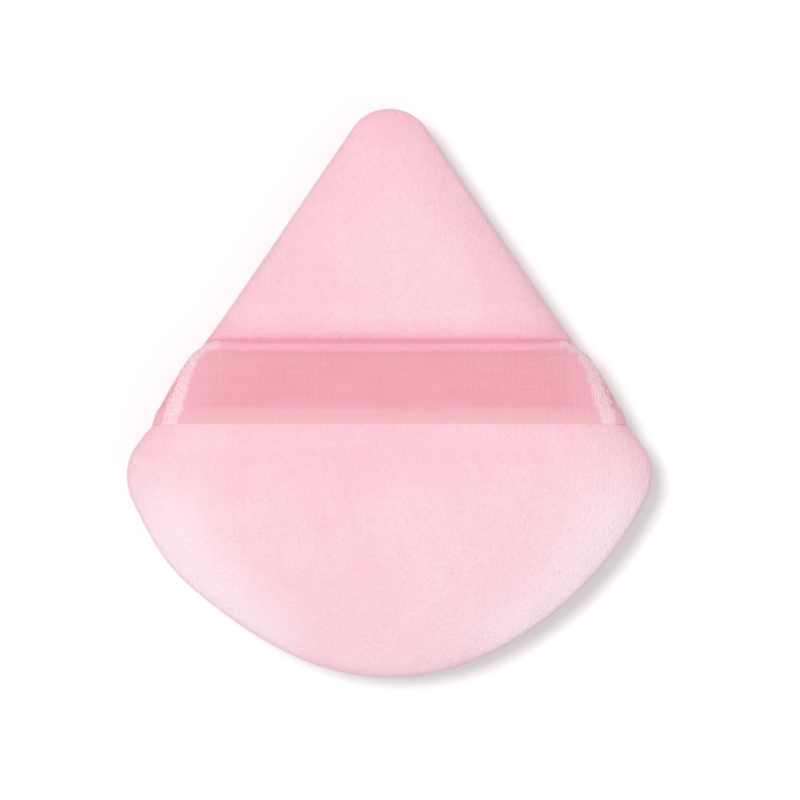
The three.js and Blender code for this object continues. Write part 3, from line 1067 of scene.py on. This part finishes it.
PILE_DARK = linear(248, 204, 216)
PILE_LIGHT = linear(250, 212, 222)
PILE_HOLLOW_SHADE = linear(243, 186, 201)
PILE_UPWARD_SLOPE_SHADE = linear(250, 184, 202)  # painted shade on slopes that face +y
PILE_DOWNWARD_SLOPE_SHEEN = linear(254, 222, 231)  # painted sheen on slopes that face -y
PILE_RIM_HIGHLIGHT = linear(254, 237, 242)  # painted highlight on the lower rims
PILE_STRAP_SHADE = linear(252, 170, 189)  # painted shade beside the strap's upper edge
PILE_SHADOW_LINE = linear(235, 147, 167)  # painted shadow line under that edge
PILE_LOW_EDGE_SHADE = linear(248, 180, 197)  # painted shade beside the strap's lower edge

# Where the rims get a painted highlight: round this centre, at this angle on each side.
RIM_CENTRE = -6
RIM_ANGLE = 39


def painted_slope_light(n, body, facing):
    """Paints shade on slopes that face +y, and a pale sheen on slopes that face -y."""
    x, y, _ = facing
    up = n.minus(y, n.times(n.maths("ABSOLUTE", x), 0.45))
    body = n.lay(body, n.mask(up, zero=-0.1, one=0.34), 0.42, PILE_UPWARD_SLOPE_SHADE)
    return n.lay(body, n.mask(y, zero=-0.05, one=-0.5), 0.3, PILE_DOWNWARD_SLOPE_SHEEN)


def painted_rim_highlight(n, body, place, facing):
    """Paints a pale highlight on the rim to the left and right of the round end."""
    across = n.maths("ABSOLUTE", place[0])
    down = n.minus(RIM_CENTRE * MM, place[1])
    out = n.maths("SQRT", n.plus(n.times(across, across), n.times(down, down)))
    angle = math.radians(RIM_ANGLE)
    along = n.plus(n.times(across, math.cos(angle)), n.times(down, math.sin(angle)))
    aimed = n.mask(n.maths("DIVIDE", along, out), zero=0.82, one=0.98)
    outward = n.mask(out, zero=24 * MM, one=34 * MM)
    upward = n.mask(facing[2], zero=0.0, one=0.8)
    return n.lay(body, n.times(aimed, outward, upward), 0.65, PILE_RIM_HIGHLIGHT)


def painted_strap_shade(n, body, place):
    """Painted shade on the pile above and below the strap, with a painted shadow line under its upper
    edge.
    """
    on_front = n.mask(place[2], zero=8.5 * MM, one=9.5 * MM)
    above = n.minus(place[1], STRAP_TOP * MM)
    shaded_above = n.mask(above, zero=4 * MM, one=0.5 * MM)
    shaded_above = n.times(shaded_above, n.mask(above, zero=0.0, one=0.4 * MM), on_front)
    body = n.lay(body, shaded_above, 0.44, PILE_STRAP_SHADE)
    off_line = n.maths("ABSOLUTE", n.minus(above, 0.2 * MM))
    shadow_line = n.times(n.mask(off_line, zero=0.55 * MM, one=0.12 * MM), on_front)
    body = n.lay(body, shadow_line, 0.5, PILE_SHADOW_LINE)
    below = n.minus(STRAP_BOTTOM * MM, place[1])
    crest_shade = n.mask(below, zero=3.2 * MM, one=0.0)
    crest_shade = n.times(crest_shade, n.mask(below, zero=-1 * MM, one=0.0), on_front)
    return n.lay(body, crest_shade, 0.22, PILE_LOW_EDGE_SHADE)


def velour():
    n = Nodes(bpy.data.materials.new("velour"))
    at = n.own_place()
    place = n.parts(at)
    facing = n.parts(n.add("ShaderNodeNewGeometry").outputs["Normal"])
    clouds = n.noise(at, scale=60, detail=3, distortion=0.4)
    brushed = n.noise(n.stretch(at, (1.0, 0.5, 1.0)), scale=300, detail=3, distortion=0.8)
    pile = n.noise(n.stretch(at, (1.0, 0.75, 1.0)), scale=2600, detail=3)
    shade = n.plus(n.times(clouds, 0.65), n.times(brushed, 0.35))
    body = n.mix(n.mask(shade, zero=0.36, one=0.64), PILE_DARK, PILE_LIGHT)
    # Painted shade in the pile's hollows, where its bump is low.
    body = n.lay(body, n.mask(pile, zero=0.58, one=0.32), 0.32, PILE_HOLLOW_SHADE)
    body = painted_slope_light(n, body, facing)
    body = painted_rim_highlight(n, body, place, facing)
    body = painted_strap_shade(n, body, place)
    normal = n.bump(brushed, depth=0.4 * MM, strength=0.35)
    normal = n.bump(pile, depth=0.3 * MM, strength=0.8, Normal=normal)
    return n.surface(
        Base_Color=body, Normal=normal, Roughness=0.95, Specular_IOR_Level=0.15,
        Sheen_Weight=0.5, Sheen_Roughness=0.4, Sheen_Tint=(1.0, 0.9, 0.93, 1),
    )


# Ribbon. Its masks are in millimetres, as its maps are.

RIBBON_DARK = linear(238, 163, 175)
RIBBON_LIGHT = linear(241, 168, 181)
RIBBON_RIB_SHADE = linear(226, 142, 158)  # painted shade between the ribs
RIBBON_SPECK = linear(230, 148, 164)
RIBBON_LOW_EDGE_HIGHLIGHT = linear(249, 190, 201)  # painted highlight towards the lower edge
# Paler selvedge band, partly a painted highlight where its raised edge catches the light.
RIBBON_SELVEDGE_HIGHLIGHT = linear(254, 182, 197)
# Painted shade in the groove below the selvedge.
RIBBON_GROOVE_SHADE = linear(218, 160, 168)
RIBBON_TOP_EDGE_SHADE = linear(235, 147, 167)  # painted shade on the rounded upper edge
RIBBON_BEND_HIGHLIGHT = linear(244, 186, 197)  # painted highlight towards the crease
RIBBON_CREASE_HIGHLIGHT = linear(255, 218, 224)  # painted highlight along the crease of each sewn end
RIB_PITCH = 0.42
WEFT_PITCH = 0.3


def ribbon_edges(n, body, up, down):
    """A painted highlight towards the lower edge; above, a paler selvedge that is partly a painted
    highlight, and painted shade in the groove and on the turned upper edge.
    """
    body = n.lay(body, n.mask(up, zero=3.2, one=0.3), 0.9, RIBBON_LOW_EDGE_HIGHLIGHT)
    body = n.lay(body, n.mask(down, zero=1.4, one=1.05), 0.6, RIBBON_SELVEDGE_HIGHLIGHT)
    groove = n.times(n.mask(down, zero=1.2, one=1.75), n.mask(down, zero=2.3, one=1.95))
    body = n.lay(body, groove, 0.35, RIBBON_GROOVE_SHADE)
    return n.lay(body, n.mask(down, zero=0.42, one=0.14), 0.55, RIBBON_TOP_EDGE_SHADE)


def painted_crease_highlights(n, body, weave_map, grain, up, down, fold):
    """A paler painted band towards the crease of each end, and a painted highlight along the crease,
    uneven and mottled, round the upper corner.
    """
    body = n.lay(body, n.mask(fold, zero=6.0, one=0.2), 0.5, RIBBON_BEND_HIGHLIGHT)
    corner = n.maths("SMOOTH_MIN", fold, n.minus(down, 1.1), 3.0)
    wander = n.times(n.minus(n.noise(weave_map, scale=0.8, detail=2), 0.5), 1.1)
    outer = n.plus(corner, wander)
    inner = n.minus(outer, n.times(n.mask(up, zero=7.0, one=0.8), 0.5))
    strip = n.times(n.mask(inner, zero=0.4, one=-0.4), n.mask(outer, zero=-1.75, one=-1.42))
    strip = n.times(strip, n.mask(fold, zero=2.2, one=0.7))
    mottle = n.plus(n.times(n.mask(grain, zero=0.35, one=0.6), 0.4), 0.58)
    return n.lay(body, strip, mottle, RIBBON_CREASE_HIGHLIGHT)


def ribbon():
    n = Nodes(bpy.data.materials.new("ribbon"))
    weave_map = n.add("ShaderNodeUVMap", uv_map="weave").outputs["UV"]
    along, up, _ = n.parts(weave_map)
    fold, _, _ = n.parts(n.add("ShaderNodeUVMap", uv_map="fold").outputs["UV"])
    down = n.minus(STRAP_WIDTH, up)
    ribs = n.maths("SINE", n.times(along, TURN / RIB_PITCH))
    wefts = n.maths("SINE", n.times(up, TURN / WEFT_PITCH))
    weave = n.times(ribs, n.plus(n.times(wefts, 0.5), 0.5))
    streaks = n.noise(n.stretch(weave_map, (0.06, 2.6, 1.0)), scale=1.0, detail=3)
    uneven = n.noise(weave_map, scale=0.16, detail=2)
    grain = n.noise(weave_map, scale=2.6, detail=2)
    tone = n.plus(n.times(streaks, 0.5), n.times(uneven, 0.5))
    body = n.mix(n.mask(tone, zero=0.38, one=0.62), RIBBON_DARK, RIBBON_LIGHT)
    body = n.lay(body, n.mask(weave, zero=0.2, one=-0.9), 0.2, RIBBON_RIB_SHADE)
    body = n.lay(body, n.mask(grain, zero=0.6, one=0.3), 0.25, RIBBON_SPECK)
    body = ribbon_edges(n, body, up, down)
    body = painted_crease_highlights(n, body, weave_map, grain, up, down, fold)
    height = n.plus(weave, n.times(grain, 1.4))
    normal = n.bump(height, depth=0.05 * MM, strength=0.9)
    return n.surface(
        Base_Color=body, Normal=normal, Roughness=0.55, Specular_IOR_Level=0.3,
        Sheen_Weight=0.25, Sheen_Roughness=0.35, Sheen_Tint=(1.0, 0.9, 0.92, 1),
    )


# Sewing thread and foam

THREAD_DARK = linear(236, 170, 187)
THREAD_LIGHT = linear(247, 198, 210)
FOAM_DARK = linear(214, 200, 184)
FOAM_LIGHT = linear(250, 243, 234)


def sewing_thread():
    n = Nodes(bpy.data.materials.new("sewing_thread"))
    at = n.own_place()
    fibres = n.noise(n.stretch(at, (1.0, 1.0, 0.4)), scale=3500, detail=2)
    body = n.mix(n.mask(fibres, zero=0.35, one=0.65), THREAD_DARK, THREAD_LIGHT)
    normal = n.bump(fibres, depth=0.06 * MM, strength=0.7)
    return n.surface(
        Base_Color=body, Normal=normal, Roughness=0.5, Specular_IOR_Level=0.4, Sheen_Weight=0.2
    )


def open_foam():
    n = Nodes(bpy.data.materials.new("open_foam"))
    cells = n.add("ShaderNodeTexVoronoi")
    n.feed(cells, Vector=n.own_place(), Scale=1400)
    walls = cells.outputs["Distance"]
    # Darker in the middle of each cell: painted shade in the foam's pits.
    body = n.mix(n.mask(walls, zero=0.1, one=0.6), FOAM_DARK, FOAM_LIGHT)
    normal = n.bump(walls, depth=0.2 * MM, strength=0.8)
    return n.surface(Base_Color=body, Normal=normal, Roughness=1.0, Specular_IOR_Level=0.1)


MATERIALS = {"velour": velour(), "foam": open_foam(), "thread": sewing_thread(), "ribbon": ribbon()}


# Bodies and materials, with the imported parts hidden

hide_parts("front_panel")
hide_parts("back_panel")
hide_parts("foam_core")
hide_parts("seam_needle_thread")
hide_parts("seam_bobbin_thread")
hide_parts("closing_thread")
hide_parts("strap_span", "strap_end_left", "strap_end_right")

for piece, slot in (
    (front_cover, "velour"),
    (back_cover, "velour"),
    (foam_pad, "foam"),
    (needle_stitches, "thread"),
    (bobbin_stitches, "thread"),
    (closing_stitches, "thread"),
    (left_end_stitches, "thread"),
    (right_end_stitches, "thread"),
):
    piece.data.materials.append(MATERIALS[slot])
    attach(piece, "pad")
finger_strap.data.materials.append(MATERIALS["ribbon"])
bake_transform(finger_strap)


# Floor, light, camera

FLOOR_HALF = 1500
FLOOR_DROP = 0.1  # keeps the floor clear of the pad's flat back
FLOOR_GLOW = 0.19  # what the lit floor lacks to white
FILL_STRENGTH = 0.41


def seen_by(n):
    """1 for the rays that show the background: from the camera, mirrored or through glass."""
    path = n.add("ShaderNodeLightPath").outputs
    seen = n.maths("MAXIMUM", path["Is Camera Ray"], path["Is Glossy Ray"])
    return n.maths("MAXIMUM", seen, path["Is Transmission Ray"])


def make_floor():
    """A pale floor that keeps the shadow, and is white for the camera where it is lit."""
    s = FLOOR_HALF
    z = -FLOOR_DROP
    floor = add_mesh("floor", [(-s, -s, z), (s, -s, z), (s, s, z), (-s, s, z)], [(0, 1, 2, 3)])
    n = Nodes(bpy.data.materials.new("floor"))
    diffuse = n.add("ShaderNodeBsdfDiffuse")
    n.feed(diffuse, Color=(0.8, 0.8, 0.8, 1))
    glow = n.add("ShaderNodeEmission")
    n.feed(glow, Strength=n.times(seen_by(n), FLOOR_GLOW))
    both = n.add("ShaderNodeAddShader")
    n.fill(both, diffuse.outputs[0], glow.outputs[0])
    n.output("ShaderNodeOutputMaterial", both)
    floor.data.materials.append(n.owner)


def make_sun(name, aim, strength, spread):
    """A sun lamp that shines along a direction, with a soft edge of spread degrees."""
    lamp = bpy.data.lights.new(name, "SUN")
    lamp.energy = strength
    lamp.angle = math.radians(spread)
    sun = add_object(name, lamp)
    sun.rotation_euler = Vector(aim).to_track_quat("-Z", "Y").to_euler()


def make_world():
    """Soft light from all sides, with a white background to look at."""
    scene.world = bpy.data.worlds.new("studio")
    n = Nodes(scene.world)
    mixed = n.add("ShaderNodeMixShader")
    n.link(seen_by(n), mixed.inputs[0])
    for place, strength in ((1, FILL_STRENGTH), (2, 1)):
        light = n.add("ShaderNodeBackground")
        n.feed(light, Color=(1, 1, 1, 1), Strength=strength)
        n.link(light.outputs[0], mixed.inputs[place])
    n.output("ShaderNodeOutputWorld", mixed)


def make_camera(place, focal, near, far):
    """A camera that looks straight down, as the photograph does, from a place in metres."""
    lens = bpy.data.cameras.new("camera")
    lens.lens = focal
    lens.clip_start = near
    lens.clip_end = far
    scene.camera = add_object("camera", lens)
    scene.camera.location = place


make_floor()
make_sun("key", aim=(0.27, -0.18, -1), strength=1.72, spread=16)
make_sun("low_fill", aim=(-0.34, 0.38, -0.86), strength=0.5, spread=80)
make_world()
make_camera(place=(0.0015, -0.001, 0.79), focal=250, near=0.05, far=10)
scene.view_settings.view_transform = "Standard"
